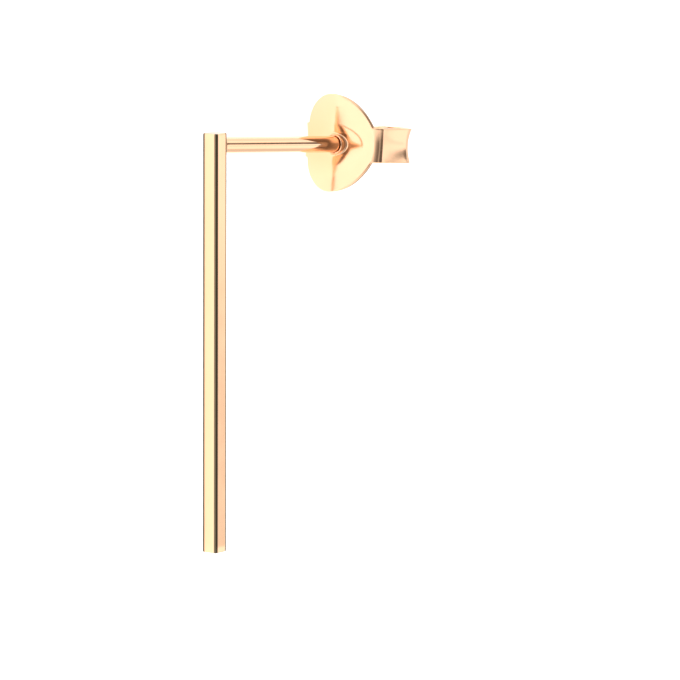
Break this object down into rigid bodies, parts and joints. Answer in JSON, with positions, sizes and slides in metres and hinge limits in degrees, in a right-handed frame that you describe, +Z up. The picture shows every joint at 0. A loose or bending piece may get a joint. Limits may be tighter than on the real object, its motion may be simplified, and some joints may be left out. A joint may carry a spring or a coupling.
{
  "type": "bar stud earring with butterfly clutch",
  "caption": "Slim square bar ear stud lying on its side, with a soldered ear post and a butterfly clutch of thin rolled sheet that slides along the post.",
  "frame": {"origin": "the middle of the box's underside, on the surface that the stud lies on", "axes": "+Y runs along the bar to its post end, +Z is up from the surface, +X points from the bar towards the clutch; the stud lies on its side, tipped 9.9 degrees about the bar"},
  "size_m": [0.0138, 0.021, 0.005],
  "materials": {
    "bar_metal": "polished",
    "clutch_metal": "polished"
  },
  "bodies": {
    "earring": {"bar_with_post": "bar_metal"},
    "clutch": {"butterfly_clutch": "clutch_metal"}
  },
  "joints": [
    {"name": "clutch_slide", "type": "slide", "parent": "earring", "child": "clutch", "axis": [0.9812, -0.0872, 0.172], "range_m": [-0.0083, 0.0036]}
  ]
}
